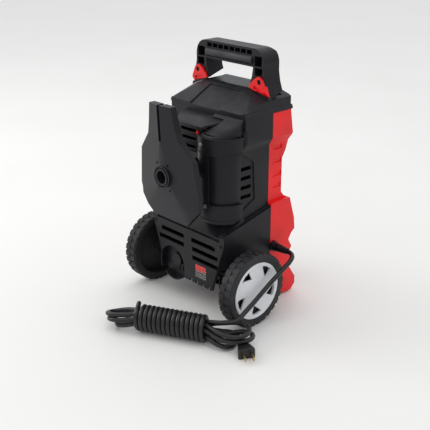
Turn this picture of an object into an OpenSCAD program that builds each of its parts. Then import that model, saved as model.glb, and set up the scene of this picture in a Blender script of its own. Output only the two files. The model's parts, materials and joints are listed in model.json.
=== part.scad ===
// Compact electric pressure washer, wheeled, with a fixed carry handle.
// The origin is on the floor under the middle of the body. X is the width,
// +Y points to the back (the wheel side) and Z is up. All sizes in millimetres.

/* [Body] */
// Width of the body over its side walls
body_w = 168; // [160:1:174]
// Thickness of the moulded plastic walls
wall = 3; // [2.5:0.5:3]
// Height of the top edge of the body shells
body_top = 319; // [317:1:321]
// Back face of the lower body
rear_y = 56; // [55:1:57]
// Back wall of the upper body
back_y = 12; // [11:1:13]
// Joint between the black back shell and the red front shell
split_y = -47; // [-48:1:-46]

/* [Wheels] */
// Radius of the wheels over the tread
wheel_r = 60; // [59:1:61]
// Width of a wheel
wheel_w = 24; // [22:1:24]
// Outer face of a wheel, from the middle of the body
wheel_out = 127; // [126:1:128]
// Radius of the steel axle
axle_r = 4; // [3.5:0.5:4]
// Blocks in one row of the tread
tread_blocks = 30; // [24:1:34]
// Windows in the wheel cover
wheel_windows = 5; // [4:1:6]

/* [Handle] */
// Half the width of the handle over its legs
handle_half = 74; // [73:1:75]
// Height of the top of the handle
handle_top = 414; // [412:1:415]
// Ribbed cells along the top bar
handle_cells = 8; // [6:1:10]

/* [Reel bracket] */
// Radius of the bore that takes the pivot of a hose reel
hub_bore_r = 10; // [8:0.5:11]
// Distance across between the screw holes round that bore
hub_holes_x = 24; // [22:1:26]
// Distance up between those screw holes
hub_holes_z = 40; // [38:1:42]
// Radius of each of those screw holes
hub_hole_r = 2; // [1.5:0.5:2.5]
// Width of the slot between the two upper posts
post_slot = 5; // [4:0.5:6]

/* [Water] */
// Radius of the outlet's threaded nose
outlet_r = 11; // [10.5:0.5:11]
// Radius of the inlet's coupling nose
inlet_r = 9; // [8:0.5:9.5]

/* [Mains lead] */
// Diameter of the lead
cord_d = 7.5; // [7:0.5:8]
// Sides of the lead's tube
cord_sides = 8; // [8:1:12]

/* [Hidden] */
$fn = 48;

eps = 0.01;
big = 600;
half_w = body_w / 2;

// Wheels
axle_y = 26;
wheel_in = wheel_out - wheel_w;
cover_r = 0.78 * wheel_r;
block_w = 0.7 * 2 * PI * wheel_r / tread_blocks;
run_fit = 0.06;

// Lower body
floor_z = 36;
fender_front_z = 167;
fender_back_z = 145;
chamfer_x = 74;
grille_t = 3;
grille_low = 44;
grille_high = 133;
grille_screw = [78, 127];
vent_h = 7.5;
arch_x = 38;
arch_z = 62;
arch_r = 31;

// Upper body
hub_z = 232;
upper_half = half_w - wall - 0.2;
waist_x = 77;
waist_low_z = 176;
waist_z = 268;
waist_top_z = 281;
bulge_x = -44;
bulge_y = 20;
bulge_r = 34;
bulge_low_z = 157;
bulge_high_z = 293;

// Lance holder: a sleeve round the bulge, from one angle to another
holder_r = 38.5;
holder_in = 35.3;
holder_from = 54;
holder_to = 188;
spine_to = 101;
holder_bands = [163, 267];
holder_band_h = 26;
// its two screws, by angle and height
holder_screws = [[94, 186], [78, 281]];

// Vent hood
hood_wall_y = 46;
louvre_z = [268, 281, 294];
louvre_h = 5;
button_x = -17;
button_z = louvre_z[2] - 1;

// Reel bracket: the two front facets fall away from a ridge in the middle,
// and a third facet below the hub falls back towards the bottom edge
plate_half = [[24, 343], [29, 314], [34, 294], [59, 265], [68, 205], [65.5, 197], [65.5, 187], [39, 159]];
ridge_y = 104.5;
facet_k = 0.185;
ridge_k = 0.048;
chin_z = 215;
chin_y = 100.3;
chin_k = 0.192;
slot_low = 287.5;
stem_r = 15;
bracket_screws = [[7, hub_z - 20.5], [7, hub_z + 20.5]];

// Handle
handle_rear = -34;
handle_front = -68;
leg_in = 52;
cell_pitch = 2 * (leg_in - 2) / handle_cells;
clip_outline = [[46.5, 355.5], [50, 362], [60, 371], [67, 374], [74, 370], [80, 356], [84.5, 343.5],
    [66, 349.5]];
clip_screw = [68, 366];

// Motor and pump share one upright axis
motor_y = -36;
stator_r = 36;
stator_low = 176;
stator_high = 232;
shaft_r = 4;
swash_z = 136;
swash_tilt = 7;
plunger_ring = 17;
plunger_r = 5;
plunger_top = 129;
pump_low = 54;
spring_low = 105.4;
spring_high = plunger_top - 2.3;
spring_turns = 5;
spring_r = 6.6;
wire_r = 0.7;

// Red shell: its front edge from the top down, in Y and Z
front_most = -(ridge_y + ridge_k * (plate_half[0][1] - hub_z));
front_edge = [[-93, 280], [-93, 276], [-85, 253], [-77, 240], [-77, 184], [-83, 176], [-91, 172],
    [-103, 134], [-105, 114], [-98, 109], [-91, 98], [-99, 84], [-92, 74], [-100, 62], [-93, 50],
    [-101, 38], [front_most, 25]];

// Ports on the front
port_z = 78;
port_x = 30;
front_y = -98;
panel_top = 312;

// Switch
knob_z = 287;
knob_r = 15;

// Mains lead: out of the side of the body, down over the face of the wheel
// and along the floor into the hank
cord_r = cord_d / 2;
gland = [-half_w, -54, 98];
relief_len = 32;
LEAD = [[-116, -54, 98], [-121, -53.6, 97.8], [-127, -51.5, 97], [-132, -46.5, 95], [-135, -38, 91.5],
    [-136, -26, 86.5], [-136.5, -11, 79.5], [-136.5, 4, 72], [-137, 19, 64.5], [-137.5, 35, 56],
    [-138.5, 50, 49], [-140, 65, 43], [-142, 80, 38]];

// The coiled rest of the lead, tied into a hank that lies on the floor: two round ends
hank_wide_end = [16, 180];
hank_wide_r = 26;
hank_slim_end = [-146, 94];
hank_slim_r = 15;
hank_h = 44;
plug_face = [-185, 106, 8];
plug_turn = 150;
plug_len = 28;
blade_len = 17;

// ---------------------------------------------------------------- helpers

// An outline in Y and Z, extruded across the width and centred on x = 0
module across(w, points) {
    translate([-w / 2, 0, 0]) rotate([90, 0, 90]) linear_extrude(w) polygon(points);
}

// An outline in X and Z, extruded from y = low to y = high
module along(low, high, points) {
    translate([0, high, 0]) rotate([90, 0, 0]) linear_extrude(high - low) polygon(points);
}

// An outline in X and Y, extruded from z = low to z = high
module upright(low, high, points) {
    translate([0, 0, low]) linear_extrude(high - low) polygon(points);
}

// A half outline, given for x > 0, and its mirror image as one closed outline
function mirrored(p) = concat(p, [for (i = [len(p) - 1:-1:0]) [-p[i][0], p[i][1]]]);

// Everything beyond the plane through p with the outward normal n
module beyond(p, n) {
    turn = atan2(n[1], n[0]);
    tilt = atan2(n[2], norm([n[0], n[1]]));
    translate(p) rotate([0, -tilt, turn]) translate([0, -big / 2, -big / 2]) cube(big);
}

// A box given by its lowest and its highest corner
module span(a, b) {
    translate(a) cube(b - a);
}

// A rod from p along a unit axis: "x", "y" or "z"
module rod(p, axis, r, h) {
    turn = axis == "x" ? [0, 90, 0] : axis == "y" ? [-90, 0, 0] : [0, 0, 0];
    translate(p) rotate(turn) cylinder(r = r, h = h);
}

module both_sides() {
    children();
    mirror([1, 0, 0]) children();
}

module tube(p, axis, outer, inner, h) {
    difference() {
        rod(p, axis, outer, h);
        step = axis == "x" ? [1, 0, 0] : axis == "y" ? [0, 1, 0] : [0, 0, 1];
        rod(p - step, axis, inner, h + 2);
    }
}

// Pan-head screw: head outwards along -Z at the origin, shank along +Z
module screw(head_r = 3.6, shank_r = 1.6, len = 12) {
    difference() {
        translate([0, 0, -2]) cylinder(r = head_r, h = 2);
        translate([-2.4, -0.5, -2 - eps]) cube([4.8, 1, 1]);
        translate([-0.5, -2.4, -2 - eps]) cube([1, 4.8, 1]);
    }
    cylinder(r = shank_r, h = len);
}

// ---------------------------------------------------------------- lower body

// Solid outline of the lower body. Its back corners are chamfered, and the
// chamfers run out towards the top
module lower_block() {
    difference() {
        across(body_w, [[split_y, floor_z], [rear_y, floor_z + 8], [rear_y, 141],
            [rear_y - 4.5, fender_back_z], [split_y, fender_front_z]]);
        both_sides() {
            intersection() {
                beyond([chamfer_x, rear_y, 0], [3, 2, 0]);
                span([0, 0, 0], [half_w + 1, rear_y + 1, 99]);
            }
            beyond([chamfer_x, rear_y, 99], [3, 2, -1]);
        }
    }
}

module gland_hole() {
    rod([-half_w - 1, gland[1], gland[2]], "x", 6, 8);
}

module chassis() {
    color("#26272a") {
        difference() {
            lower_block();
            // inside of the side walls, open at the top and at the back
            difference() {
                span([wall - half_w, split_y - 1, floor_z + wall + 3],
                     [half_w - wall, rear_y + 1, fender_front_z + 5]);
                both_sides() beyond([chamfer_x - wall, rear_y - wall, 0], [3, 2, 0]);
            }
            // seat of the grille
            span([-chamfer_x - 0.2, rear_y - grille_t - 0.2, floor_z - 1],
                 [chamfer_x + 0.2, rear_y + 1, 200]);
            both_sides() span([chamfer_x - 1, rear_y - grille_t - 0.2, 117.8],
                [half_w + 1, rear_y + 1, grille_high + 0.2]);
            rod([-half_w - 1, axle_y, wheel_r], "x", axle_r + 4, body_w + 2);
            gland_hole();
            both_sides() rod([grille_screw[0], rear_y - 14, grille_screw[1]], "y", 1.6, 12);
        }
        // bulkheads beside the pump
        for (x = [[46, 82], [-82, -59]]) span([x[0], split_y, floor_z + 1], [x[1], split_y + 3, 96]);
        // tray that carries the front shell and the pump
        span([-45, front_y + 8, floor_z + 3], [45, split_y + 1, floor_z + 7]);
        difference() {
            tube([-wheel_in + 0.6, axle_y, wheel_r], "x", 10, axle_r + run_fit, 2 * wheel_in - 1.2);
            span([-20, axle_y - 20, wheel_r - 20], [20, axle_y + 20, wheel_r + 20]);
        }
        // ribs that tie the axle tube to the floor
        both_sides() for (x = [30, 56]) difference() {
            span([x, axle_y - 14, floor_z + 6], [x + 3, axle_y + 14, wheel_r]);
            rod([x - 1, axle_y, wheel_r], "x", 9, 5);
        }
    }
}

module slot_row(xs, z) {
    for (x = xs) translate([x[0], rear_y - grille_t - 1, z]) cube([x[1] - x[0], grille_t + 2, vent_h]);
}

module arch(r, low, y0, y1) {
    translate([0, y1, 0]) rotate([90, 0, 0]) linear_extrude(y1 - y0) union() {
        translate([arch_x, arch_z]) circle(r = r);
        translate([arch_x - r, low]) square([2 * r, arch_z - low]);
    }
}

module rear_grille() {
    color("#2b2c2f") {
        difference() {
            union() {
                intersection() {
                    lower_block();
                    union() {
                        span([-chamfer_x, rear_y - grille_t, grille_low], [chamfer_x, rear_y, grille_high]);
                        span([-half_w, rear_y - grille_t, 118], [half_w, rear_y, grille_high]);
                    }
                }
                // recess of the arch
                difference() {
                    arch(arch_r, grille_low, rear_y - 14, rear_y - 1);
                    arch(arch_r - 2, grille_low - 5, rear_y - 12, rear_y + 1);
                }
            }
            arch(arch_r - 2, grille_low - 5, rear_y - 12, rear_y + 1);
            slot_row([[9, 64], [-64, -9]], 114);
            slot_row([[9, 70], [-70, -11]], 99);
            slot_row([[-70, -11]], 84);
            for (i = [0:4]) span([-66 + 14 * i, rear_y - grille_t - 1, grille_low - 1],
                [-61 + 14 * i, rear_y + 1, grille_low + 5]);
            for (x = [22, 31])
                span([x, rear_y - 13.2, grille_low + 2], [x + 4, rear_y - 11, grille_low + 12]);
            both_sides() {
                rod([grille_screw[0], rear_y - grille_t - 1, grille_screw[1]], "y", 1.8, grille_t + 2);
                rod([grille_screw[0], rear_y - 2, grille_screw[1]], "y", 3.5, 3);
            }
        }
        // round blanking disc in the arch
        rod([arch_x - 4, rear_y - 12.5, 67], "y", 11, 7.5);
        // vertical rib in the middle of the vents
        span([-3, rear_y - grille_t - 2, grille_low + 8], [3, rear_y - grille_t + 1, 128]);
    }
}

module rating_label() {
    color("#8f2f30") span([-44, rear_y, 56], [-19, rear_y + 0.4, 79]);
}

module grille_screws() {
    color("#3a3b3e") both_sides() translate([grille_screw[0], rear_y - 2, grille_screw[1]])
        rotate([90, 0, 0]) screw(3.2, 1.5, 10);
}

module foot_pads() {
    color("#202022") both_sides() {
        span([52, -101, 0], [78, -82, 3]);
    }
}

// ---------------------------------------------------------------- upper body

function upper_front(d) = mirrored([[upper_half - d, 134], [upper_half - d, waist_top_z - 6],
    [half_w - d, waist_top_z], [half_w - d, body_top]]);

// The side walls draw in at the waist, between a ledge and a slanted shoulder. The
// lowest edge of that hollow falls towards the back, with the top of the lower body
module waist() {
    both_sides() intersection() {
        along(-130, 60, [[waist_x, 100], [waist_x, waist_z], [half_w + 1, waist_top_z + 0.9],
            [half_w + 1, 100]]);
        union() {
            across(200, [[split_y, fender_front_z + 2.5], [60, 146], [60, 300], [split_y, 300]]);
            across(200, [[split_y, waist_low_z - 4], [split_y, 300], [-130, 300],
                [-130, waist_low_z - 4]]);
        }
    }
}

// The round bulge on the back, grown by d. Above the holder it leans in under the top cover
module bulge(d) {
    rod([bulge_x, bulge_y, bulge_low_z], "z", bulge_r + d, bulge_high_z - bulge_low_z);
    hull() {
        translate([bulge_x, bulge_y, bulge_high_z - 1]) cylinder(r = bulge_r + d, h = 1, $fn = 32);
        span([4 - half_w - d, 0, body_top - 2], [-20 + d, back_y + 1 + d, body_top - 0.3 + d]);
    }
}

module side_slots() {
    for (z = [192, 207, 222, 237])
        span([half_w - 14, -9, z], [half_w + 2, back_y + 2, z + 6]);
}

module rear_shell() {
    color("#2a2b2e") {
        difference() {
            union() {
                difference() {
                    along(split_y, back_y, upper_front(0));
                    both_sides() beyond([half_w - 4, back_y, 0], [1, 1, 0]);
                    waist();
                }
                difference() {
                    bulge(0);
                    // the vent hood is let into it
                    span([-26.2, back_y, 259.8], [26.2, 60, 304.2]);
                    hood_room(0.2);
                }
                // shoulder down to the top edge of the grille
                difference() {
                    across(2 * upper_half, [[back_y - 2, 140], [back_y - 2, 164], [back_y, 164],
                        [rear_y - 3.2, 138], [rear_y - 3.2, 134], [back_y + 10, 134]]);
                    both_sides() beyond([chamfer_x - wall - 0.3, rear_y - wall, 0], [3, 2, 0]);
                }
            }
            // inside of the shell
            difference() {
                along(split_y - 1, back_y - wall, mirrored([[upper_half - wall, 130],
                    [upper_half - wall, 147], [waist_x - wall, 153], [waist_x - wall, waist_z],
                    [half_w - wall, waist_top_z], [half_w - wall, body_top + 1]]));
                both_sides() beyond([half_w - 4 - wall, back_y - wall, 0], [1, 1, 0]);
            }
            rod([bulge_x, bulge_y, bulge_low_z + wall], "z", bulge_r - wall, bulge_high_z - bulge_low_z);
            across(2 * upper_half - 8, [[back_y - 4, 130], [back_y - 4, 158], [back_y + 1, 158],
                [rear_y - 6, 134.5], [rear_y - 6, 133], [back_y, 130]]);
            // recess with the side vents
            both_sides() {
                translate([waist_x - 1.6, 0, 0]) rotate([90, 0, 90]) linear_extrude(8)
                    polygon([[back_y + 3, 267], [-13, 248], [-17, 187], [back_y + 3, 170]]);
                side_slots();
            }
            // air way behind the louvres
            span([-20, back_y - wall - 1, 266], [22, back_y + 1, 300]);
            // screw holes of the reel bracket and of the lance holder
            for (p = bracket_screws) rod([p[0], back_y - wall - 1, p[1]], "y", 1.7, wall + 2);
            for (p = holder_screws) at_bulge(p) rod([bulge_r - wall - 1, 0, 0], "x", 1.7, wall + 2);
        }
    }
}

// Turned to an angle round the bulge, at a height
module at_bulge(p) {
    translate([bulge_x, bulge_y, p[1]]) rotate([0, 0, p[0]]) children();
}

module sleeve(outer, to, low, high) {
    translate([bulge_x, bulge_y, low]) rotate([0, 0, holder_from])
        rotate_extrude(angle = to - holder_from) translate([holder_in, 0])
            square([outer - holder_in, high - low]);
}

// C-shaped holder: two bands round the bulge, joined by a spine on one side
module lance_holder() {
    color("#2c2d30") {
        difference() {
            union() {
                for (z = holder_bands) {
                    sleeve(holder_r, holder_to, z, z + holder_band_h);
                    // rims along the edges of a band
                    for (rim = [z, z + holder_band_h - 2]) sleeve(holder_r + 1, holder_to, rim, rim + 2);
                }
                sleeve(holder_r, spine_to, holder_bands[0], holder_bands[1] + holder_band_h);
            }
            for (p = holder_screws) at_bulge(p) {
                rod([holder_in - 1, 0, 0], "x", 1.8, 6);
                rod([holder_r - 1, 0, 0], "x", 3.8, 6);
            }
        }
    }
}

// Column round the roof over the louvres, grown by d
module hood_room(d) {
    upright(300.5 - d, 314 + d,
        mirrored([[46 + d, 0], [46 + d, 25 + d], [42 + d, 31 + d], [29 + d, 50 + d]]));
}

module vent_hood() {
    color("#303134") {
        difference() {
            span([-26, back_y + 0.1, 260], [26, hood_wall_y, 304]);
            span([-23, back_y, 263], [23, hood_wall_y - 2.5, 301]);
            for (z = louvre_z)
                span([-12, hood_wall_y - 4, z - louvre_h / 2], [22, hood_wall_y + 1, z + louvre_h / 2]);
            rod([button_x, hood_wall_y - 4, button_z], "y", 3.3, 6);
        }
        difference() {
            intersection() {
                across(120, [[back_y + 0.1, 300], [51, 300], [51, 303.3], [47, 306], [back_y + 0.1, 314]]);
                hood_room(0);
            }
            across(84, [[back_y - 1, 299], [hood_wall_y - 3, 299], [hood_wall_y - 3, 303.5],
                [back_y - 1, 310.5]]);
        }
    }
}

// ---------------------------------------------------------------- reel bracket

module plate_solid(d) {
    difference() {
        along(70, 120, mirrored([for (p = plate_half) [p[0] - d, p[1] + (p[1] > hub_z ? -d : d)]]));
        translate([0, -d, 0]) {
            beyond([0, ridge_y, hub_z], [facet_k, 1, -ridge_k]);
            beyond([0, ridge_y, hub_z], [-facet_k, 1, -ridge_k]);
            beyond([0, chin_y, chin_z], [0, 1, -chin_k]);
        }
    }
}

// The four screw holes round the hub, or the bosses behind them
module hub_rods(r, low) {
    for (x = [-hub_holes_x / 2, hub_holes_x / 2]) for (z = [-hub_holes_z / 2, hub_holes_z / 2])
        rod([x, low, hub_z + z], "y", r, 60);
}

module reel_bracket() {
    color("#34353a") {
        difference() {
            union() {
                // plate with folded edges, hollow at the back
                difference() {
                    plate_solid(0);
                    difference() {
                        plate_solid(3);
                        hub_rods(5, 60);
                        // the posts are solid beside their slot
                        span([-7, 60, slot_low - 5], [7, 120, 400]);
                    }
                    span([-100, 60, 100], [100, 84, 400]);
                    beyond([0, 84, 250], [0, -1, 0.12]);
                }
                // stem back to the body, with its flange, and the collar round the bore
                rod([0, back_y + 0.1, hub_z], "y", stem_r, ridge_y - back_y - 1);
                rod([0, ridge_y - 6, hub_z], "y", hub_bore_r + 3.5, 8);
                tube([0, ridge_y - 6, hub_z], "y", hub_bore_r + 7.5, hub_bore_r + 5.5, 7.5);
                span([-9, back_y + 0.1, hub_z - 26], [19, back_y + 5, hub_z + 26]);
            }
            rod([0, back_y + 8, hub_z], "y", hub_bore_r, 120);
            rod([bulge_x, bulge_y, 150], "z", bulge_r + 0.4, 160);
            hub_rods(hub_hole_r, 70);
            // slot between the posts, with a round foot
            span([-post_slot / 2, 60, slot_low + post_slot / 2], [post_slot / 2, 130, 400]);
            rod([0, 60, slot_low + post_slot / 2], "y", post_slot / 2, 70);
            for (p = bracket_screws) rod([p[0], back_y - 1, p[1]], "y", 1.8, 8);
        }
    }
}

// ---------------------------------------------------------------- top cover

module cover_solid(d) {
    difference() {
        along(-88 + d, 40, mirrored([[half_w - 2 - d, body_top - d], [half_w - 2 - d, 339 - d],
            [52, 353 - d], [0, 353 - d]]));
        // slope to the back, side facets, and the front slope
        beyond([0, -34, 353 - d], [0, 0.5, 0.866]);
        both_sides() beyond([half_w, -39, 340 - d], [0.378, 0.267, 0.886]);
        beyond([0, -80, 352 - d], [0, -0.8, 0.6]);
        // back edge in plan
        difference() {
            span([-100, 0, 300], [100, 60, 400]);
            upright(299, 401, mirrored([[half_w + 1, -1], [half_w + 1, 5 - d], [76, 14 - d]]));
        }
    }
}

module top_cover() {
    color("#3a3b3f") {
        difference() {
            union() {
                cover_solid(0);
                // flange that sits on the shells
                difference() {
                    along(-90, 13, mirrored([[half_w + 0.5, body_top + 0.2], [half_w + 0.5, 323],
                        [half_w - 2, 326]]));
                    both_sides() beyond([half_w - 6, 13, 0], [1, 1, 0]);
                }
            }
            cover_solid(wall);
            // shallow panel in the back slope, open to the back
            translate([0, -34, 353]) rotate([-30, 0, 0]) translate([0, 0, -1.7])
                linear_extrude(10) polygon([[-35, 9], [34, 9], [37, 62], [-27, 62]]);
            // feet of the handle pass through
            both_sides() span([50, -74, 330], [76, -38, 360]);
        }
    }
}

// ---------------------------------------------------------------- red shell

// Front edge of the red shell, moved back by d
function moved_edge(d) = [for (p = front_edge) [p[0] + d, p[1]]];

module front_shell() {
    color("#d9383c") {
        difference() {
            across(body_w, concat([[split_y - 0.2, 86], [split_y - 0.2, body_top - 0.2],
                [-87, body_top - 0.2]], moved_edge(0),
                [[front_most, 12], [-101, 3], [-80, 3], [-66, 26], [-58, 60], [-56, 78]]));
            waist();
            // hollow, open to the back and to the top
            intersection() {
                across(body_w - 2 * wall, concat([[split_y + 5, 89], [split_y + 5, body_top + 5],
                    [-84, body_top + 5]], moved_edge(wall), [[front_most + wall, 13], [-99.7, 6],
                    [-81.8, 6], [-69, 26.5], [-61, 60], [-59, 80]]));
                along(-130, split_y + 6, mirrored([[half_w, 0], [half_w, waist_low_z - 13],
                    [waist_x - wall, waist_low_z - 6], [waist_x - wall, waist_z],
                    [half_w - wall + 1, waist_top_z + 1], [half_w, 400]]));
            }
            span([-half_w + wall, -60, 46], [half_w - wall, split_y + 2, 110]);
            // opening for the front panel
            span([-58, -130, 50], [58, split_y, panel_top]);
            // arch between the two feet
            span([-46, -130, -1], [46, split_y, 51]);
            // slots in the red side trims
            both_sides() for (z = [194, 213, 235, 257])
                span([waist_x - 1.8, -76, z], [half_w + 1, -57, z + 7]);
            gland_hole();
        }
    }
}

module front_panel() {
    color("#2b2c2f") {
        difference() {
            union() {
                across(115.4, [[-80, panel_top - 0.2], [-85, panel_top - 0.2], [-91, 280], [-83, 252],
                    [-75, 239], [-75, 186], [-88, 172], [-100, 132], [-100, 112], [-96, 60],
                    [-92, 50.4], [-89, 50.4], [-93, 60], [-97, 112], [-97, 131], [-85, 170],
                    [-72, 184.6], [-72, 240], [-80, 253], [-88, 280], [-82, panel_top - 3]]);
                // cup round the knob, and a collar round each port
                rod([0, -94, knob_z], "y", knob_r + 4, 16);
                both_sides() rod([port_x, -98.5, port_z], "y", 19, 6);
            }
            rod([0, -110, knob_z], "y", knob_r + 1.5, 29);
            rod([0, -100, knob_z], "y", 4.4, 40);
            both_sides() rod([port_x, -110, port_z], "y", 16, 14);
            both_sides() rod([port_x, -110, port_z], "y", 12, 30);
            // air slots at the motor
            for (z = [134:9:161]) for (x = [-46, 8]) translate([x, -115, z]) cube([38, 40, 4]);
        }
    }
}

// ---------------------------------------------------------------- handle

module handle_outline() {
    polygon(concat([[-86, 336], [-82, 350], [-handle_half - 3, 364], [-handle_half, 380],
            [-handle_half, 392]],
        [for (a = [10:20:90]) [-handle_half + 20 - 20 * cos(a), handle_top - 22 + 22 * sin(a)]],
        [for (a = [90:-20:10]) [handle_half - 20 + 20 * cos(a), handle_top - 22 + 22 * sin(a)]],
        [[handle_half, 392], [handle_half, 380], [handle_half + 3, 364], [82, 350], [86, 336]]));
}

module handle_window() {
    polygon(mirrored([[46, 330], [44, 356], [50, 372], [leg_in, 386]]));
}

module handle() {
    color("#333438") {
        difference() {
            translate([0, handle_rear, 0]) rotate([90, 0, 0]) linear_extrude(handle_rear - handle_front)
                difference() {
                    handle_outline();
                    handle_window();
                }
            // the legs stop on the cover
            both_sides() intersection() {
                beyond([half_w, -39, 340.3], [-0.378, -0.267, -0.886]);
                span([0, -120, 300], [120, 0, 400]);
            }
            span([-52, -100, 300], [52, -20, 353.3]);
            // cells, open to the back
            for (i = [0:handle_cells - 1])
                translate([-leg_in + 3 + i * cell_pitch, -58, 404]) cube([cell_pitch - 2, 30, 6.5]);
            // seat of the grip
            span([-leg_in + 1.5, -52, 389], [leg_in - 1.5, -30, 402.5]);
            // hollow legs with cross ribs
            both_sides() {
                span([55, -60, 388], [70, -30, 403]);
                span([56, -60, 374], [71, -30, 385.5]);
                span([55, -60, 360], [72, -30, 371.5]);
            }
            // top bar tapers towards the front
            beyond([0, handle_front + 6, handle_top], [0, -0.7, 0.7]);
            // seats of the red clips
            both_sides() clip_seat(0.2);
        }
    }
}

module handle_grip() {
    color("#3c3d42") difference() {
        union() {
            rod([-leg_in + 1.7, -37, 395.8], "x", 6.6, 2 * (leg_in - 1.7));
            span([-leg_in + 1.7, -51.5, 389.3], [leg_in - 1.7, -37, 402.3]);
        }
        span([-40, -53, 391.5], [40, -44, 400]);
    }
}

// Room for a red clip in the back of a leg, its outline grown by about d
module clip_seat(d) {
    along(handle_rear - 4 - d, handle_rear + 5, [for (p = clip_outline)
        [65 + (p[0] - 65) * (1 + d / 18), 358 + (p[1] - 358) * (1 + d / 14)]]);
}

module handle_clip() {
    difference() {
        along(handle_rear - 4, handle_rear + 3.5, clip_outline);
        // slot with a lip, and the screw's counterbore
        rotate_clip() span([56, handle_rear + 0.5, 351.5], [76, handle_rear + 5, 356.5]);
        rod([clip_screw[0], handle_rear - 6, clip_screw[1]], "y", 1.7, 12);
        rod([clip_screw[0], handle_rear + 1.5, clip_screw[1]], "y", 3.8, 5);
        // bevel along the lower edge
        beyond([0, handle_rear + 3.5, 352], [0, 0.75, -0.66]);
    }
}

module rotate_clip() {
    translate([66, 0, 354]) rotate([0, 18, 0]) translate([-66, 0, -354]) children();
}

module left_handle_clip() {
    color("#d9383c") handle_clip();
}

module right_handle_clip() {
    color("#d9383c") mirror([1, 0, 0]) handle_clip();
}

module clip_screws() {
    color("#1d1d1f") both_sides() translate([clip_screw[0], handle_rear + 1.5, clip_screw[1]])
        rotate([90, 0, 0]) screw(3.4, 1.5, 14);
}

module shell_screws() {
    color("#b9bcc0") {
        for (p = bracket_screws) translate([p[0], back_y + 5, p[1]]) rotate([90, 0, 0]) screw(3.4, 1.6, 12);
        for (p = holder_screws) at_bulge(p) translate([holder_r - 1, 0, 0]) rotate([0, -90, 0])
            screw(3.4, 1.6, 10);
    }
}

// ---------------------------------------------------------------- wheels

module axle() {
    color("#b4b6b8") rod([-wheel_out + 3, axle_y, wheel_r], "x", axle_r, 2 * wheel_out - 6);
}

module axle_nuts() {
    color("#c9cbcd") both_sides()
        tube([wheel_out - 9, axle_y, wheel_r], "x", 7.5, axle_r, 3);
}

// Wheel with its tread, drawn for the +X side with its axis on the axle
module wheel() {
    translate([0, axle_y, wheel_r]) rotate([0, 90, 0]) difference() {
        union() {
            // tyre ring, web and boss
            translate([0, 0, wheel_in]) rotate_extrude() polygon([[wheel_r - 12, 0], [wheel_r - 3.5, 0],
                [wheel_r - 1.6, 1.5], [wheel_r - 1.6, wheel_w - 1.5], [wheel_r - 3.5, wheel_w],
                [wheel_r - 12.8, wheel_w], [wheel_r - 12.8, wheel_w - 7], [14, wheel_w - 13],
                [14, wheel_w - 10], [axle_r + run_fit, wheel_w - 10], [axle_r + run_fit, 0.3], [9, 0.3],
                [9, wheel_w - 16], [wheel_r - 12, wheel_w - 10]]);
            // two staggered rows of tread blocks
            intersection() {
                for (row = [0, 1]) for (i = [0:tread_blocks - 1])
                    rotate([0, 0, (i + row / 2) * 360 / tread_blocks])
                        translate([wheel_r - 5, -block_w / 2,
                            wheel_in + (row == 0 ? 1.2 : wheel_w / 2 + 0.6)])
                            cube([6, block_w, wheel_w / 2 - 1.8]);
                cylinder(r = wheel_r, h = wheel_out + 10);
            }
        }
        translate([0, 0, wheel_in - 1]) cylinder(r = axle_r + run_fit, h = wheel_w + 2);
    }
}

module wheel_cover() {
    step = 360 / wheel_windows;
    translate([0, axle_y, wheel_r]) rotate([0, 90, 0]) difference() {
        translate([0, 0, wheel_out - 6.6]) rotate_extrude() polygon([[0, 3.9], [12, 3.9], [36, 2.2],
            [cover_r - 3, 0.6], [cover_r - 0.6, 0.2], [cover_r - 0.6, 6.4], [cover_r - 4, 6.4],
            [36, 4.6], [12, 6.2], [0, 6.2]]);
        // windows with one radial edge, so that the spokes look like blades
        for (i = [0:wheel_windows - 1]) rotate([0, 0, i * step + 83]) translate([0, 0, wheel_out - 10])
            linear_extrude(14)
                polygon([[24.5, 0.5], [40.4, 0.6], [41, -1], [39.8, -9.9], [36.2, -17.8], [34.6, -18.4]]);
    }
}

module left_tyre() {
    color("#222325") wheel();
}

module right_tyre() {
    color("#222325") mirror([1, 0, 0]) wheel();
}

module left_wheel_cover() {
    color("#e8eaec") wheel_cover();
}

module right_wheel_cover() {
    color("#e8eaec") mirror([1, 0, 0]) wheel_cover();
}

// ---------------------------------------------------------------- motor

module at_motor(z) {
    translate([0, motor_y, z]) children();
}

module ring(outer, inner, h) {
    difference() {
        cylinder(r = outer, h = h);
        translate([0, 0, -1]) cylinder(r = inner, h = h + 2);
    }
}

module motor_bracket() {
    color("#9a9da1") {
        // lower end bracket on the pump, and the upper one with the bearing seat
        at_motor(158) ring(stator_r + 2, 11.2, 4);
        at_motor(162) ring(15, 11.2, 5);
        for (a = [45:90:315]) at_motor(162) rotate([0, 0, a])
            translate([stator_r - 3, -4, 0]) cube([4.8, 8, 88]);
        at_motor(250) difference() {
            ring(stator_r + 2, 11.2, 4);
            for (a = [0:90:270]) rotate([0, 0, a]) translate([16, -5, -1]) cube([14, 10, 6]);
        }
        at_motor(247) ring(15, 11.2, 4);
        for (a = [0, 180]) at_motor(150) rotate([0, 0, a])
            translate([stator_r - 8, -6, 0]) cube([8, 12, 8.1]);
    }
}

module motor_stator() {
    color("#7f8285") at_motor(stator_low) difference() {
        ring(stator_r - 3.2, 19.6, stator_high - stator_low);
        for (a = [0, 180]) rotate([0, 0, a])
            translate([19, -13, -1]) cube([8, 26, stator_high - stator_low + 2]);
    }
}

module field_coils() {
    color("#b5703a") for (a = [0, 180]) at_motor(stator_low - 7) rotate([0, 0, a]) difference() {
        translate([20.2, -12.5, 0]) cube([6.3, 25, stator_high - stator_low + 14]);
        translate([19, -6, 7.2]) cube([9, 12, stator_high - stator_low - 0.4]);
    }
}

module motor_bearings() {
    color("#c7cacd") for (z = [159, 248]) at_motor(z) ring(11.1, shaft_r + run_fit, 7);
}

module motor_shaft() {
    color("#d0d2d4") at_motor(127) cylinder(r = shaft_r, h = 149);
}

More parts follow.
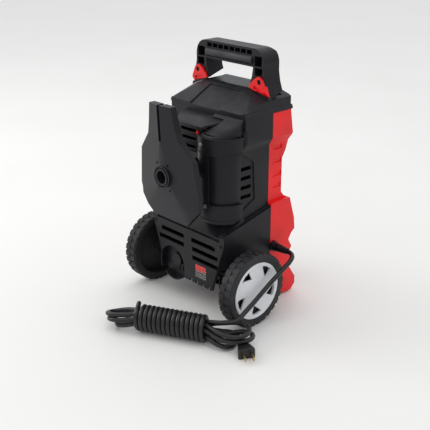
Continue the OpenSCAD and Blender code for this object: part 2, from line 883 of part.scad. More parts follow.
module armature() {
    color("#6f7276") at_motor(stator_low + 1) difference() {
        ring(18.6, shaft_r, stator_high - stator_low - 2);
        for (i = [0:11]) rotate([0, 0, i * 30]) translate([14, -1, -1]) cube([6, 2, 60]);
    }
}

module commutator() {
    color("#c98a4b") at_motor(stator_high + 1) difference() {
        ring(11, shaft_r, 14);
        for (i = [0:11]) rotate([0, 0, i * 30]) translate([9.5, -0.4, -1]) cube([3, 0.8, 16]);
    }
}

module cooling_fan() {
    color("#4a4c50") {
        at_motor(259) ring(8, shaft_r, 12);
        at_motor(259) ring(32, 7.5, 1.6);
        for (i = [0:8]) at_motor(260) rotate([0, 0, i * 40])
            translate([8, -0.8, 0]) rotate([0, 0, 12]) cube([23, 1.6, 9]);
    }
}

module brush_holders() {
    color("#6b5a3a") for (a = [90, 270]) at_motor(stator_high + 4) rotate([0, 0, a]) {
        translate([11.4, -3, 1]) cube([6, 6, 6]);
        translate([14, -4.5, 0]) cube([16, 9, 8]);
    }
}

// ---------------------------------------------------------------- pump

module swash_plate() {
    color("#a9acaf") at_motor(swash_z) difference() {
        union() {
            rotate([swash_tilt, 0, 0]) translate([0, 0, -3]) cylinder(r = 25, h = 6);
            cylinder(r = 9, h = 12);
        }
        translate([0, 0, -20]) cylinder(r = shaft_r, h = 60);
    }
}

module pump_housing() {
    color("#8c9094") {
        // cylinder block with three bores, and the case round the swash plate
        at_motor(76) difference() {
            cylinder(r = 30, h = 36);
            for (i = [0:2]) rotate([0, 0, 90 + i * 120]) translate([plunger_ring, 0, -1]) {
                cylinder(r = plunger_r + run_fit, h = 50);
                translate([0, 0, 29]) cylinder(r = 8.4, h = 20);
            }
        }
        at_motor(112) ring(33, 29, 38);
        at_motor(108) difference() {
            cylinder(r = 33, h = 4);
            translate([0, 0, -1]) cylinder(r = 29.9, h = 8);
        }
    }
}

module pump_head() {
    color("#b9a06a") difference() {
        union() {
            at_motor(pump_low) cylinder(r = 30, h = 21.9);
            both_sides() rod([port_x - 8, -84, port_z - 12], "y", 8, 34);
            both_sides() span([port_x - 16, -86, port_z - 20], [port_x + 12, -70, port_z + 10]);
        }
        both_sides() rod([port_x, -87, port_z], "y", 6, 12);
        at_motor(76) for (i = [0:2]) rotate([0, 0, 90 + i * 120])
            translate([plunger_ring, 0, -8]) cylinder(r = 4, h = 20);
        at_motor(floor_z) for (a = [30:120:270]) rotate([0, 0, a])
            translate([25, 0, 0]) cylinder(r = 2.6, h = 80);
        at_motor(75.95) cylinder(r = 60, h = 60);
    }
}

module pump_bolts() {
    color("#5d6064") for (a = [30:120:270]) at_motor(pump_low) rotate([0, 0, a])
        translate([25, 0, 0]) {
            cylinder(r = 2.4, h = 21.9);
            translate([0, 0, -4]) cylinder(r = 4, h = 4);
        }
}

// A plunger reaches from its bore up to just under the swash plate's sweep
module plunger(i) {
    at_motor(0) rotate([0, 0, 90 + i * 120]) translate([plunger_ring, 0, 0]) {
        translate([0, 0, 84]) cylinder(r = plunger_r, h = plunger_top - 84);
        translate([0, 0, plunger_top - 2]) cylinder(r = 8, h = 2);
    }
}

module plunger_1() {
    color("#d8dadc") plunger(0);
}

module plunger_2() {
    color("#d8dadc") plunger(1);
}

module plunger_3() {
    color("#d8dadc") plunger(2);
}

// Return spring round a plunger, as one swept wire of six sides
function spring_ring(k, steps) = let (u = k / steps, a = 360 * spring_turns * u)
    [for (j = [0:5]) let (b = 60 * j, r = spring_r + wire_r * cos(b))
        [r * cos(a), r * sin(a), spring_low + wire_r + u * (spring_high - spring_low - 2 * wire_r)
         + wire_r * sin(b)]];

module spring_wire() {
    steps = 12 * spring_turns;
    points = [for (k = [0:steps]) each spring_ring(k, steps)];
    sides = [for (k = [0:steps - 1]) for (j = [0:5])
        [6 * k + j, 6 * k + (j + 1) % 6, 6 * (k + 1) + (j + 1) % 6, 6 * (k + 1) + j]];
    ends = [[5, 4, 3, 2, 1, 0], [for (j = [0:5]) 6 * steps + j]];
    polyhedron(points, concat(sides, ends), convexity = 8);
}

module plunger_spring(i) {
    at_motor(0) rotate([0, 0, 90 + i * 120]) translate([plunger_ring, 0, 0]) spring_wire();
}

module plunger_spring_1() {
    color("#9fa2a5") plunger_spring(0);
}

module plunger_spring_2() {
    color("#9fa2a5") plunger_spring(1);
}

module plunger_spring_3() {
    color("#9fa2a5") plunger_spring(2);
}

// ---------------------------------------------------------------- water and electrics

module water_inlet() {
    color("#c8a85a") difference() {
        union() {
            rod([port_x, -108, port_z], "y", inlet_r, 12);
            rod([port_x, -100, port_z], "y", 11, 4);
            rod([port_x, -96, port_z], "y", 10, 10);
            rod([port_x, -86.5, port_z], "y", 5.9, 8);
        }
        rod([port_x, -109, port_z], "y", 6, 20);
        rod([port_x, -90, port_z], "y", 3.5, 20);
    }
}

module inlet_filter() {
    color("#d7dadd") {
        tube([port_x, -105, port_z], "y", 5.6, 4.8, 13);
        rod([port_x, -93, port_z], "y", 5.2, 1);
    }
}

module water_outlet() {
    color("#c8a85a") difference() {
        union() {
            rod([-port_x, -109.5, port_z], "y", outlet_r, 14);
            rod([-port_x, -96, port_z], "y", 11.6, 10);
            rod([-port_x, -86.5, port_z], "y", 5.9, 8);
        }
        rod([-port_x, -110, port_z], "y", 7, 12);
        rod([-port_x, -99, port_z], "y", 3.5, 30);
    }
}

module pressure_switch() {
    color("#2f5f8f") {
        span([-57, -70, 58], [-44, -44, 88]);
        rod([-44.1, -60, 70], "x", 5, 12);
    }
}

module capacitor() {
    color("#cfd2d6") rod([44, -30, 284], "z", 13, 30);
}

module power_switch() {
    color("#55585c") {
        span([-13, -76.8, knob_z - 12], [13, -60, knob_z + 12]);
        for (x = [-9, -3, 3, 9]) span([x - 1, -60.1, knob_z - 3], [x + 1, -54, knob_z + 2]);
    }
}

module power_knob() {
    color("#d9383c") {
        rod([0, -96, knob_z], "y", knob_r, 14.7);
        span([-4, -103, knob_z - knob_r + 1], [4, -90, knob_z + knob_r - 1]);
        rod([0, -82, knob_z], "y", 4, 5);
    }
}

module breaker() {
    color("#303236") difference() {
        span([button_x - 5, 22, button_z - 8], [button_x + 9, 40, button_z + 7]);
        rod([button_x, 30, button_z], "y", 3.3, 12);
    }
}

module reset_button() {
    color("#d9383c") {
        rod([button_x, 34, button_z], "y", 1.6, 5);
        rod([button_x, 38, button_z], "y", 3, hood_wall_y - 36);
    }
}

module reset_spring() {
    color("#9fa2a5") tube([button_x, 34.2, button_z], "y", 2.9, 1.9, 3.6);
}

// ---------------------------------------------------------------- mains lead

module strain_relief() {
    color("#1f2022") difference() {
        translate(gland) rotate([0, -90, 0]) union() {
            translate([0, 0, -5]) cylinder(r = 5.8, h = 5.2);
            cylinder(r = 9, h = 3);
            translate([0, 0, 3]) cylinder(r1 = 7.2, r2 = cord_r + 1.1, h = relief_len - 3);
        }
        for (i = [0:3]) translate([gland[0] - 11 - 6 * i, gland[1], gland[2]]) rotate([0, -90, 0])
            difference() {
                cylinder(r = 12, h = 1.6);
                translate([0, 0, -1]) cylinder(r = cord_r + 0.6, h = 4);
            }
    }
}

// A tube with flat ends, swept along points with one ring at each point
function unit(v) = v / norm(v);
function heading(p, i) = unit(p[min(i + 1, len(p) - 1)] - p[max(i - 1, 0)]);
function cross_ring(p, i, r, n) =
    let (t = heading(p, i), up = abs(t[2]) > 0.9 ? [0, 1, 0] : [0, 0, 1],
        u = unit(cross(t, up)), v = cross(t, u))
    [for (j = [0:n - 1]) let (a = 360 * j / n) p[i] + r * (cos(a) * u + sin(a) * v)];

module swept(p, r, n) {
    points = [for (i = [0:len(p) - 1]) each cross_ring(p, i, r, n)];
    sides = [for (i = [0:len(p) - 2]) for (j = [0:n - 1])
        [n * i + j, n * (i + 1) + j, n * (i + 1) + (j + 1) % n, n * i + (j + 1) % n]];
    last = n * (len(p) - 1);
    ends = [[for (j = [0:n - 1]) j], [for (j = [n - 1:-1:0]) last + j]];
    polyhedron(points, concat(sides, ends), convexity = 10);
}

module cord_lead() {
    color("#1c1d1f") swept(LEAD, cord_r, cord_sides);
}

function arc(p, r, from, to) = [for (k = [0:16]) let (a = from + (to - from) * k / 16)
    [p[0] + r * cos(a), p[1] + r * sin(a)]];

module cord_hank() {
    reach = hank_slim_end - hank_wide_end;
    turn = atan2(reach[1], reach[0]);
    side = acos((hank_wide_r - hank_slim_r) / norm(reach));
    color("#1c1d1f") linear_extrude(hank_h)
        polygon(concat(arc(hank_wide_end, hank_wide_r, turn + side, turn + 360 - side),
            arc(hank_slim_end, hank_slim_r, turn - side, turn + side)));
}

// At the middle of the plug's face, with the blades along +X
module at_plug() {
    translate(plug_face) rotate([0, 0, plug_turn]) children();
}

module plug() {
    color("#1c1d1f") at_plug() hull() {
        translate([-3, -12.5, -8]) cube([3, 25, 16]);
        translate([-18, -9, -6.5]) cube([1, 18, 13]);
        translate([-plug_len, -4.5, -4.5]) cube([1, 9, 9]);
    }
}

module plug_blades() {
    color("#c9b27a") at_plug() for (y = [-6.35, 6.35]) difference() {
        translate([0, y - 0.75, -3.15]) cube([blade_len, 1.5, 6.3]);
        translate([blade_len - 3.5, y - 2, 0]) rotate([-90, 0, 0]) cylinder(r = 1.6, h = 4);
    }
}

// ---------------------------------------------------------------- nodes

chassis();
rear_grille();
rear_shell();
vent_hood();
lance_holder();
reel_bracket();
top_cover();
front_shell();
front_panel();
handle();
handle_grip();
left_handle_clip();
right_handle_clip();
clip_screws();
shell_screws();
grille_screws();
axle();
axle_nuts();
left_tyre();
left_wheel_cover();
right_tyre();
right_wheel_cover();
foot_pads();
rating_label();
motor_bracket();
motor_stator();
field_coils();
motor_bearings();
brush_holders();
motor_shaft();
armature();
commutator();
cooling_fan();
swash_plate();
pump_housing();
pump_head();
pump_bolts();
plunger_1();
plunger_2();
plunger_3();
plunger_spring_1();
plunger_spring_2();
plunger_spring_3();
water_inlet();
inlet_filter();
water_outlet();
pressure_switch();
capacitor();
power_switch();
power_knob();
breaker();
reset_button();
reset_spring();
strain_relief();
cord_lead();
cord_hank();
plug();
plug_blades();
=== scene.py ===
import json
import math

import bpy
from mathutils import Matrix, Vector


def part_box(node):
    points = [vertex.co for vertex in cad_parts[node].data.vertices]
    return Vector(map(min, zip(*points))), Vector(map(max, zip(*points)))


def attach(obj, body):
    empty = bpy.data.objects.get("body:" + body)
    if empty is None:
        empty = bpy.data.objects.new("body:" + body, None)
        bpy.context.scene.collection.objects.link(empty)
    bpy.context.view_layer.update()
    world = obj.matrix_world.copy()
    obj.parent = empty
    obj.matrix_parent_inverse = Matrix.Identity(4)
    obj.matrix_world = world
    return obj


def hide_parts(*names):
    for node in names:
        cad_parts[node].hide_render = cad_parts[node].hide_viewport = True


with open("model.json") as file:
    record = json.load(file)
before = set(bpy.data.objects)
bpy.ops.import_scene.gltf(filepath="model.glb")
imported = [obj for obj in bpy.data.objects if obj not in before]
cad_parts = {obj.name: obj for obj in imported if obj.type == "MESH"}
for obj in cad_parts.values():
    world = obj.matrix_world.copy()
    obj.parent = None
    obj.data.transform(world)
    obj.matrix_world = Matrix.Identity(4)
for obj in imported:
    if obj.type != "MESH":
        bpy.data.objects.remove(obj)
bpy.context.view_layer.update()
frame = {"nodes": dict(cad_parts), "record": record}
nodes = frame["nodes"]
scene = bpy.context.scene
MM = 0.001

# ---------------------------------------------------------------- camera

EYE = Vector((-0.88906, 0.82604, 0.63316))
YAW, PITCH, ROLL = 226.957, 22.053, -0.116  # degrees
LENS = 67.42  # millimetres on a 36 mm sensor


def make_camera():
    data = bpy.data.cameras.new("camera")
    data.sensor_width = 36
    data.lens = LENS
    data.clip_start, data.clip_end = 0.05, 50
    cam = bpy.data.objects.new("camera", data)
    turn = Matrix.Rotation(math.radians(YAW), 4, "Z") @ Matrix.Rotation(math.radians(90 - PITCH), 4, "X")
    cam.matrix_world = Matrix.Translation(EYE) @ turn @ Matrix.Rotation(math.radians(ROLL), 4, "Z")
    scene.collection.objects.link(cam)
    scene.camera = cam


make_camera()

# ---------------------------------------------------------------- mains lead, in millimetres

CORD_D = 7.5
CORD_STEP = 2.2  # length of one straight step of the tube
# Out of the strain relief and down past the right wheel, as in part.scad
LEAD = [(-116, -54, 98), (-121, -53.6, 97.8), (-127, -51.5, 97), (-132, -46.5, 95), (-135, -38, 91.5),
        (-136, -26, 86.5), (-136.5, -11, 79.5), (-136.5, 4, 72), (-137, 19, 64.5), (-137.5, 35, 56),
        (-138.5, 50, 49), (-140, 65, 43), (-142, 80, 38)]
PLUG_NECK = (-160.8, 92, 8)
HANK = (16, 180)  # a point under the hank's axis, at its wide end
HANK_TURN = math.radians(207.962)  # the way that the axis runs
HANK_Z = 21.2
# Seven strands lie in a ring inside the wraps, at these angles in degrees
STRAND_RING = 9.4
STRANDS = [64.3, 115.7, 12.9, 167.1, 270, 218.6, -38.6]
STRAND_POINTS = 6
STRAND_INSET = 0.08  # share of the wraps' length that a strand's points keep clear at each end
# The turns round the strands: radius, distance along, angles in degrees, ends along the hank
WRAP_R = 17.3
WRAP_PITCH = 7.55
WRAP_START, WRAP_END = 120, 270 + 360 * 14
WRAP_FROM = 30.5
WRAP_TO = WRAP_FROM + (WRAP_END - WRAP_START) / 360 * WRAP_PITCH
STEPS_PER_TURN = 16
# End loops: reach past the wraps, half width, resting height and slope across
NECK = 2
LOOP_STEPS = 24
LOOP_ROUNDNESS = 0.75
LOOP_WIDEST = 0.7  # highest value of the formula for a loop's half width
LEFT_LOOPS = [(52, 13.5, 20.4, 0.38), (49, 13.5, 12.2, 0.36), (35, 11, 6.8, 0.22)]
RIGHT_LOOPS = [(66, 18, 25.2, 0), None, (45, 14.5, 4.4, 0)]  # LONG_LOOP is the second one
# Along from an end of the wraps, across and up: where the lead comes onto the
# hank, the long loop on the right, the turn into the first wrap, and the tail
ONTO_HANK = [(42.6, -7.5, 36.8), (35, -3.2, 35.8), (25.5, -1.6, 34.4), (14.5, -2.6, 32.2)]
LONG_LOOP = [(8, 11, 21.5), (18, 15.5, 19.3), (30, 19, 18), (42, 20, 17.6), (54, 17.5, 17.6),
             (65, 10.5, 17.4), (71, 0, 17), (70, -11, 16.4), (62, -18.5, 15.4), (50, -19, 14.4),
             (38, -13.5, 13.4), (26, -6.5, 12.4), (13, -1.5, 11.8)]
TURN_BACK = [(1, -8.6, 14.6), (-6, -13, 12.6), (-11, -19, 12.4), (-14, -24.5, 16), (-14, -26.5, 22.5),
             (-11.5, -24, 29.5), (-7.5, -16.5, 35.5), (-3.5, -6, 39)]
TAIL = [(1.5, -9, 3.9), (5, -18, 3.9), (12, -25.5, 3.9), (22, -29.5, 3.9), (33, -29, 3.9), (42, -24, 3.9),
        (49, -15, 4.2), (54.5, -5, 6)]


def on_hank(u, n, z):
    """A point along the hank, across it and up."""
    c, s = math.cos(HANK_TURN), math.sin(HANK_TURN)
    return (HANK[0] + u * c + n * s, HANK[1] + u * s - n * c, z)


def strand_at(k):
    """Strand k's place across the hank and up."""
    a = math.radians(STRANDS[k])
    return -STRAND_RING * math.cos(a), HANK_Z + STRAND_RING * math.sin(a)


def end_loop(k, at, way, loop):
    """From strand k round to the next: a teardrop that droops onto what lies under it."""
    reach, half, rest, slope = loop
    (n0, z0), (n1, z1) = strand_at(k), strand_at(k + 1)
    side = 1 if n0 > n1 else -1
    points = []
    for i in range(2, LOOP_STEPS - 1):
        t = 2 * math.pi * i / LOOP_STEPS
        e = math.sin(t / 2) ** 2
        mix = (t - math.sin(t)) / (2 * math.pi)
        n = n0 + (n1 - n0) * mix + side * half / LOOP_WIDEST * math.sin(t) * e ** LOOP_ROUNDNESS
        z = (z0 + (z1 - z0) * mix) * (1 - e) + (rest + slope * n) * e
        points.append(on_hank(at + way * ((reach + NECK) * e - NECK), n, z))
    return points


def wraps():
    """The turns round the strands."""
    count = round(STEPS_PER_TURN * (WRAP_END - WRAP_START) / 360)
    points = []
    for i in range(count + 1):
        a = math.radians(WRAP_START + (WRAP_END - WRAP_START) * i / count)
        u = WRAP_FROM + (WRAP_TO - WRAP_FROM) * i / count
        points.append(on_hank(u, -WRAP_R * math.cos(a), HANK_Z + WRAP_R * math.sin(a)))
    return points


def cord_route():
    """The whole lead's points, from the strain relief to the plug."""
    points = list(LEAD) + [on_hank(WRAP_TO + u, n, z) for u, n, z in ONTO_HANK]
    last = len(STRANDS) - 1
    for k in range(last + 1):
        n, z = strand_at(k)
        to_left = k % 2 == 0
        start, stop = (WRAP_TO, WRAP_FROM) if to_left else (WRAP_FROM, WRAP_TO)
        for i in range(STRAND_POINTS):
            share = STRAND_INSET + (1 - 2 * STRAND_INSET) * i / (STRAND_POINTS - 1)
            points.append(on_hank(start + (stop - start) * share, n, z))
        loop = (LEFT_LOOPS if to_left else RIGHT_LOOPS)[k // 2] if k < last else None
        if loop:
            points += end_loop(k, stop, -1 if to_left else 1, loop)
        elif k < last:
            points += [on_hank(WRAP_TO + u, m, h) for u, m, h in LONG_LOOP]
    points += [on_hank(WRAP_FROM + u, n, z) for u, n, z in TURN_BACK]
    points += wraps()
    points += [on_hank(WRAP_TO + u, n, z) for u, n, z in TAIL]
    return points + [PLUG_NECK]


def smoothed(points, step):
    """A Catmull-Rom curve through the points, in short straight steps."""
    p = [points[0]] + list(points) + [points[-1]]
    out = []
    for a, b, c, d in zip(p, p[1:], p[2:], p[3:]):
        a, b, c, d = (Vector(q) for q in (a, b, c, d))
        count = max(1, round((c - b).length / step))
        for j in range(count):
            t = j / count
            out.append(0.5 * (2 * b + (c - a) * t + (2 * a - 5 * b + 4 * c - d) * t * t
                              + (3 * b - a - 3 * c + d) * t ** 3))
    out.append(Vector(points[-1]))
    return out


def tube_piece(name, points, radius, sides=12):
    """A round tube with closed ends along the points, given in millimetres."""
    verts, faces = [], []
    across = Vector((0, 0, 1))
    for i, p in enumerate(points):
        ahead = (points[min(i + 1, len(points) - 1)] - points[max(i - 1, 0)]).normalized()
        across = (across - across.dot(ahead) * ahead).normalized()
        aside = ahead.cross(across)
        for k in range(sides):
            a = 2 * math.pi * k / sides
            verts.append((p + radius * (math.cos(a) * across + math.sin(a) * aside)) * MM)
        for k in range(sides if i else 0):
            m = (k + 1) % sides
            at, back = i * sides, (i - 1) * sides
            faces.append((back + k, back + m, at + m, at + k))
    faces.append(tuple(reversed(range(sides))))
    faces.append(tuple(range(len(verts) - sides, len(verts))))
    mesh = bpy.data.meshes.new(name)
    mesh.from_pydata(verts, [], faces)
    for face in mesh.polygons:
        face.use_smooth = len(face.vertices) == 4
    piece = bpy.data.objects.new(name, mesh)
    scene.collection.objects.link(piece)
    return piece


cord_points = smoothed(cord_route(), CORD_STEP)
mains_lead = tube_piece("mains_lead", cord_points, CORD_D / 2)
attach(mains_lead, "body")
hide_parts("cord_lead", "cord_hank")

# ---------------------------------------------------------------- materials


class Nodes:
    """A node tree, with short calls for the nodes that are used here."""

    def __init__(self, tree):
        self.tree = tree

    def add(self, kind, **inputs):
        node = self.tree.nodes.new(kind)
        for name, value in inputs.items():
            self.put(node, name.replace("_", " "), value)
        return node

    def put(self, node, socket, value):
        if isinstance(value, bpy.types.NodeSocket):
            self.tree.links.new(value, node.inputs[socket])
        else:
            node.inputs[socket].default_value = value

    def ranged(self, value, low, high, new_low, new_high):
        node = self.add("ShaderNodeMapRange", Value=value)
        for name, number in zip(("From Min", "From Max", "To Min", "To Max"), (low, high, new_low, new_high)):
            node.inputs[name].default_value = number
        return node.outputs["Result"]

    def maths(self, operation, a, b=0.0):
        node = self.add("ShaderNodeMath")
        node.operation = operation
        self.put(node, 0, a)
        self.put(node, 1, b)
        return node.outputs[0]


class Shader(Nodes):
    """The nodes of one material, around its Principled shader."""

    def __init__(self, name):
        self.material = bpy.data.materials.new(name)
        self.material.use_nodes = True
        super().__init__(self.material.node_tree)
        self.surface = self.tree.nodes["Principled BSDF"]
        self.place = self.add("ShaderNodeTexCoord").outputs["Object"]

    def set(self, **inputs):
        for name, value in inputs.items():
            self.put(self.surface, name.replace("_", " "), value)

    def stretched(self, x, y, z):
        node = self.add("ShaderNodeMapping", Vector=self.place)
        node.inputs["Scale"].default_value = (x, y, z)
        return node.outputs["Vector"]

    def noise(self, scale, detail=2.0, vector=None):
        node = self.add("ShaderNodeTexNoise", Vector=vector or self.place, Scale=scale, Detail=detail)
        return node.outputs["Fac"]

    def mixed(self, factor, a, b):
        node = self.add("ShaderNodeMix")
        node.data_type = "RGBA"
        self.put(node, 0, factor)
        self.put(node, 6, a)
        self.put(node, 7, b)
        return node.outputs[2]

    def bump(self, height, depth, strength=1.0, before=None):
        node = self.add("ShaderNodeBump", Height=height, Distance=depth, Strength=strength)
        if before is not None:
            self.put(node, "Normal", before)
        return node.outputs["Normal"]

    def upward(self):
        """How far the surface faces up, from 0 to 1."""
        normal = self.add("ShaderNodeNewGeometry").outputs["Normal"]
        up = self.add("ShaderNodeSeparateXYZ", Vector=normal).outputs["Z"]
        return self.ranged(up, 0.1, 1.0, 0.0, 1.0)


def rgb(r, g, b):
    """A colour given as it looks on screen, from 0 to 255."""
    def linear(c):
        c /= 255
        return c / 12.92 if c < 0.04045 else ((c + 0.055) / 1.055) ** 2.4
    return (linear(r), linear(g), linear(b), 1)


def shade(colour, k):
    """The colour, k times as bright."""
    return (min(1, colour[0] * k), min(1, colour[1] * k), min(1, colour[2] * k), 1)


def moulded(name, colour, rough=0.45, grain=0.00006, grain_scale=1500, dust_and_sheen=0.1, shine=0.5):
    """Moulded plastic with a fine spark-eroded grain, faint flow marks, handling marks, and dust with a
    painted sheen on upward faces.
    """
    s = Shader(name)
    cloud = s.noise(18, 3)
    tone = s.mixed(s.ranged(cloud, 0.3, 0.7, 0, 1), shade(colour, 0.88), shade(colour, 1.12))
    # Upward faces turn pale grey in patches: dust, and a painted sheen from the light above
    if dust_and_sheen:
        dust_and_sheen_mask = s.maths("MULTIPLY", s.upward(), s.ranged(s.noise(60, 4), 0.35, 0.75, 0, dust_and_sheen))
        tone = s.mixed(dust_and_sheen_mask, tone, rgb(150, 148, 144))
    rub = s.noise(7, 4, s.stretched(1, 3, 1))
    s.set(Base_Color=tone, Roughness=s.ranged(rub, 0.3, 0.7, rough - 0.07, rough + 0.09),
          Specular_IOR_Level=shine)
    fine = s.bump(s.noise(grain_scale, 2), grain)
    s.set(Normal=s.bump(s.noise(90, 2), 0.00012, 0.35, fine))
    return s.material


def rubber(name, colour, rough):
    """Rubber or soft vinyl, paler where it has dried."""
    s = Shader(name)
    dry = s.ranged(s.noise(45, 4), 0.4, 0.75, 0, 0.45)
    s.set(Base_Color=s.mixed(dry, colour, shade(colour, 2.1)),
          Roughness=s.ranged(s.noise(30, 3), 0.3, 0.7, rough - 0.1, rough + 0.12),
          Normal=s.bump(s.noise(700, 3), 0.00012))
    return s.material


def metal(name, colour, rough=0.28, brush=(20, 900, 20)):
    """Plated or machined metal with fine tool marks."""
    s = Shader(name)
    marks = s.noise(1, 3, s.stretched(*brush))
    s.set(Base_Color=s.mixed(s.ranged(s.noise(60, 3), 0.3, 0.7, 0, 1), shade(colour, 0.82), colour),
          Metallic=1.0, Roughness=s.ranged(marks, 0.3, 0.7, rough - 0.08, rough + 0.12),
          Normal=s.bump(marks, 0.00003))
    return s.material


def cast(name, colour):
    """Die-cast metal with an orange-peel skin."""
    s = Shader(name)
    s.set(Base_Color=s.mixed(s.ranged(s.noise(120, 3), 0.3, 0.7, 0, 1), shade(colour, 0.75), colour),
          Metallic=0.85, Roughness=s.ranged(s.noise(200, 2), 0.3, 0.7, 0.4, 0.62),
          Normal=s.bump(s.noise(420, 3), 0.00018))
    return s.material


def wound_copper():
    """Windings, as fine rows of wire."""
    s = Shader("copper_windings")
    wave = s.add("ShaderNodeTexWave", Vector=s.place, Scale=420, Distortion=0.4)
    wave.bands_direction = "Z"
    s.set(Base_Color=s.mixed(wave.outputs["Fac"], rgb(120, 60, 30), rgb(205, 120, 70)), Metallic=0.9,
          Roughness=s.ranged(s.noise(200), 0.3, 0.7, 0.25, 0.4), Normal=s.bump(wave.outputs["Fac"], 0.0002))
    return s.material


def laminated():
    """Iron core, as a stack of thin sheets."""
    s = Shader("iron_laminations")
    wave = s.add("ShaderNodeTexWave", Vector=s.place, Scale=600)
    wave.bands_direction = "Z"
    s.set(Base_Color=s.mixed(s.noise(80, 4), rgb(96, 98, 100), rgb(140, 140, 140)), Metallic=0.95,
          Roughness=s.ranged(s.noise(150), 0.3, 0.7, 0.38, 0.55), Normal=s.bump(wave.outputs["Fac"], 0.00015))
    return s.material


def printed_label():
    """A rating label: a red heading and rows of unreadable marks on black film."""
    s = Shader("printed_label")
    split = s.add("ShaderNodeSeparateXYZ", Vector=s.place)
    low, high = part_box("rating_label")
    at_x = s.ranged(split.outputs["X"], low.x, high.x, 1, 0)
    at_z = s.ranged(split.outputs["Z"], low.z, high.z, 0, 1)
    marks = s.noise(1, 1, s.stretched(900, 1, 700))
    line = s.ranged(s.maths("FRACT", s.maths("MULTIPLY", at_z, LABEL_ROWS)), 0.45, 0.5, 0, 1)
    ink = s.maths("MULTIPLY", s.ranged(marks, 0.5, 0.53, 0, 1), line)
    body = s.mixed(ink, rgb(38, 36, 38), rgb(168, 166, 164))
    heading = s.maths("MULTIPLY", s.ranged(at_z, 0.56, 0.57, 0, 1), s.ranged(at_x, 0.93, 0.94, 1, 0))
    s.set(Base_Color=s.mixed(heading, body, rgb(214, 48, 50)), Normal=s.bump(marks, 0.00002),
          Roughness=s.ranged(s.noise(60), 0.3, 0.7, 0.22, 0.36))
    return s.material


LABEL_ROWS = 5.5
BLACK = rgb(27, 27, 31)
MATERIALS = {
    "black_plastic": moulded("black_plastic", BLACK, 0.4, dust_and_sheen=0.06, shine=0.24),
    # charcoal_plastic is a little paler than BLACK as a painted reflection: its parts look lighter from the
    # light they reflect
    "charcoal_plastic": moulded("charcoal_plastic", rgb(30, 30, 35), 0.36, dust_and_sheen=0.06, shine=0.22),
    "red_plastic": moulded("red_plastic", rgb(240, 26, 30), 0.36, 0.00003, dust_and_sheen=0.05, shine=0.35),
    "grip_rubber": rubber("grip_rubber", rgb(44, 42, 48), 0.6),
    "tyre": rubber("tyre", rgb(28, 28, 31), 0.6),
    "wheel_cover": moulded("wheel_cover", rgb(226, 228, 232), 0.34, 0.00002, dust_and_sheen=0.0),
    "steel": metal("steel", rgb(200, 200, 200)),
    "black_screws": metal("black_screws", rgb(44, 44, 46), 0.42),
    "label": printed_label(),
    "die_casting": cast("die_casting", rgb(168, 170, 174)),
    "iron": laminated(),
    "copper": wound_copper(),
    "brass": metal("brass", rgb(206, 176, 106), 0.24),
    "brown_plastic": moulded("brown_plastic", rgb(104, 74, 44), 0.5, dust_and_sheen=0),
    "white_plastic": moulded("white_plastic", rgb(222, 222, 218), 0.45, dust_and_sheen=0),
    "blue_plastic": moulded("blue_plastic", rgb(40, 84, 150), 0.4, dust_and_sheen=0),
    "capacitor_can": metal("capacitor_can", rgb(52, 54, 58), 0.3, (20, 20, 500)),
    "cord_rubber": rubber("cord_rubber", rgb(20, 20, 22), 0.34),
}


def dress(piece, slot):
    piece.data.materials.clear()
    piece.data.materials.append(MATERIALS[slot])


def dress_nodes():
    """Every CAD node takes the finish of its slot in the record."""
    for part in frame["record"]["subparts"]:
        dress(nodes[part["node"]], part["material_slot"])


# ---------------------------------------------------------------- softened edges

WELD = 0.00001
SHARP = math.radians(32)  # edges that turn by more than this are rounded
# Radius of the moulded edges, in millimetres
EDGE = {
    "reel_bracket": 1.2, "vent_hood": 0.9, "lance_holder": 0.8, "top_cover": 1.1, "handle": 1.2,
    "handle_grip": 1.0, "left_handle_clip": 0.7, "right_handle_clip": 0.7, "rear_shell": 0.9,
    "chassis": 0.9, "rear_grille": 0.7, "front_shell": 1.0, "front_panel": 0.8, "left_tyre": 0.6,
    "right_tyre": 0.6, "left_wheel_cover": 0.6, "right_wheel_cover": 0.6, "foot_pads": 0.8,
    "strain_relief": 0.35, "plug": 1.4, "plug_blades": 0.2, "power_knob": 0.8, "reset_button": 0.3,
    "motor_bracket": 0.4, "pump_head": 0.8, "pump_housing": 0.6, "water_inlet": 0.4, "water_outlet": 0.4,
    "axle_nuts": 0.3, "breaker": 0.4, "power_switch": 0.4, "pressure_switch": 0.6, "capacitor": 0.8,
    "swash_plate": 0.5, "cooling_fan": 0.2, "armature": 0.2, "motor_stator": 0.3, "field_coils": 0.8,
    "brush_holders": 0.4, "shell_screws": 0.25, "clip_screws": 0.25, "grille_screws": 0.25,
}


def soften(piece, radius):
    """Joins the facets and rounds the edges."""
    weld = piece.modifiers.new("join", "WELD")
    weld.merge_threshold = WELD
    edge = piece.modifiers.new("edges", "BEVEL")
    edge.width = radius * MM
    edge.segments = 2
    edge.limit_method = "ANGLE"
    edge.angle_limit = SHARP
    edge.harden_normals = True
    edge.use_clamp_overlap = True
    for face in piece.data.polygons:
        face.use_smooth = True
    even = piece.modifiers.new("shading", "WEIGHTED_NORMAL")
    even.keep_sharp = True


dress_nodes()
for name, piece in nodes.items():
    if name in EDGE:
        soften(piece, EDGE[name])
dress(mains_lead, "cord_rubber")

# ---------------------------------------------------------------- floor and light

# The way to the bright wall, the dim and the bright wall's glow, and the ceiling's
BRIGHT_WALL = (0.9, -0.2, 0)
WALL_GLOW = (0.42, 0.66)
CEILING_GLOW = 0.5
FLOOR_HALF = 6.0


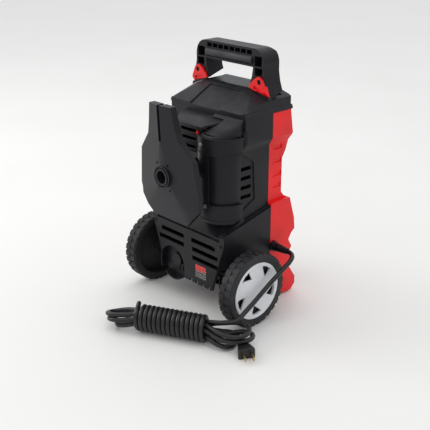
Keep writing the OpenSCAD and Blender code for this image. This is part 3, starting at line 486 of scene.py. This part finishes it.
def make_floor():
    mesh = bpy.data.meshes.new("floor")
    corners = [(x * FLOOR_HALF, y * FLOOR_HALF, 0) for x, y in ((-1, -1), (1, -1), (1, 1), (-1, 1))]
    mesh.from_pydata(corners, [], [(0, 1, 2, 3)])
    floor = bpy.data.objects.new("floor", mesh)
    scene.collection.objects.link(floor)
    s = Shader("floor")
    s.set(Base_Color=s.mixed(s.noise(3, 2), rgb(238, 237, 234), rgb(244, 243, 241)),
          Roughness=s.ranged(s.noise(40), 0.3, 0.7, 0.5, 0.62), Normal=s.bump(s.noise(300), 0.0001, 0.2))
    mesh.materials.append(s.material)


def area_light(name, place, target, size, power, colour=(1, 1, 1)):
    data = bpy.data.lights.new(name, "AREA")
    data.shape = "RECTANGLE"
    data.size, data.size_y = size
    data.energy = power
    data.color = colour
    lamp = bpy.data.objects.new(name, data)
    lamp.location = place
    lamp.rotation_mode = "QUATERNION"
    lamp.rotation_quaternion = (Vector(target) - Vector(place)).to_track_quat("-Z", "Y")
    scene.collection.objects.link(lamp)


def make_world():
    """A soft room: a bright ceiling, a bright wall on the +X side and a dim one across from it."""
    world = bpy.data.worlds.new("studio")
    scene.world = world
    world.use_nodes = True
    s = Nodes(world.node_tree)
    way = s.add("ShaderNodeTexCoord").outputs["Generated"]
    up = s.add("ShaderNodeSeparateXYZ", Vector=way).outputs["Z"]
    aside = s.add("ShaderNodeVectorMath")
    aside.operation = "DOT_PRODUCT"
    s.put(aside, 0, way)
    s.put(aside, 1, BRIGHT_WALL)
    wall = s.ranged(aside.outputs["Value"], -1, 1, *WALL_GLOW)
    sky = s.tree.nodes["Background"]
    s.put(sky, "Strength", s.maths("ADD", s.ranged(up, 0, 1, 0, CEILING_GLOW), wall))
    s.put(sky, "Color", (0.97, 0.985, 1.0, 1))


def make_light():
    middle = (0, 0, 0.2)
    area_light("ceiling", (0.3, -0.2, 2.0), middle, (2.4, 1.6), 6)
    area_light("window", (1.7, 1.1, 1.2), middle, (1.2, 1.2), 13, (1.0, 0.99, 0.97))


make_world()
make_floor()
make_light()
scene.view_settings.view_transform = "Standard"
